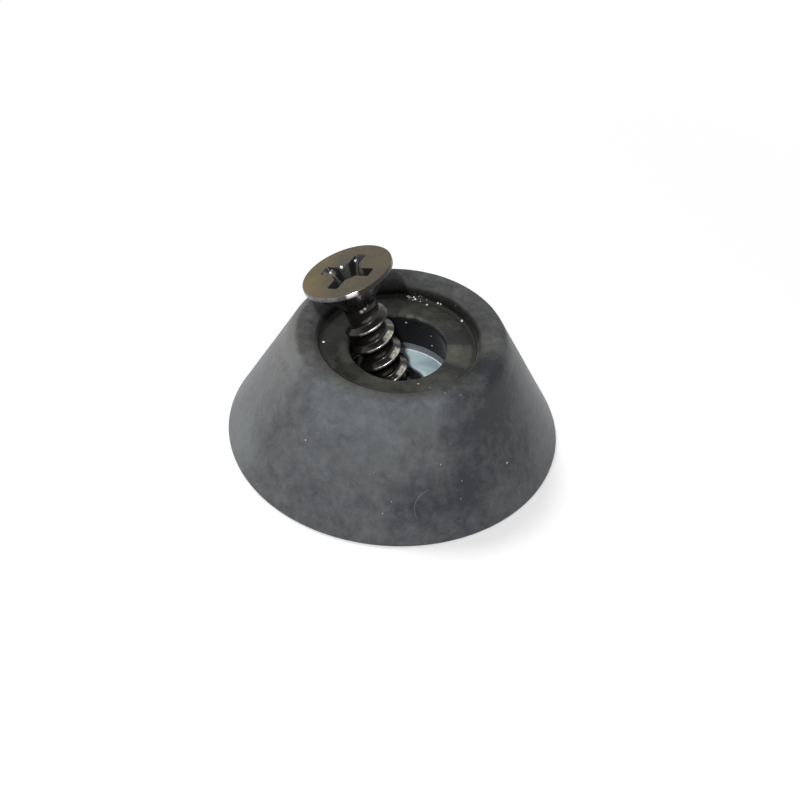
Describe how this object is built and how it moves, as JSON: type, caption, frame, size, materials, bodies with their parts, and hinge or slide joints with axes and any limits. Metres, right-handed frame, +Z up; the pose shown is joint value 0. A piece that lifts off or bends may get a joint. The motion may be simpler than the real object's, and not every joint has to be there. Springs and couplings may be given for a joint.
{
  "type": "rubber foot",
  "caption": "Screw-on rubber foot: a blunt rubber cone with a recessed narrow end, a flared bore, a moulded-in steel washer and a loose countersunk wood screw leaning in it.",
  "frame": {"origin": "centre of the wide base's face, which is the lowest face as the foot stands here", "axes": "+Z up along the axis of the rubber cone, from the wide base to the narrow end; +Y points away from the front of the foot and +X to its right, and the screw's head leans towards -X"},
  "size_m": [0.03, 0.03, 0.0186],
  "materials": {
    "rubber": "matt charcoal rubber with a cloudy pale bloom and a few specks of dust",
    "zinc_steel": "zinc-plated steel, bluish and slightly mottled",
    "black_steel": "glossy black oxide over a smooth rolled thread"
  },
  "bodies": {
    "root": {"rubber_body": "rubber", "steel_washer": "zinc_steel", "mounting_screw": "black_steel"}
  },
  "joints": []
}
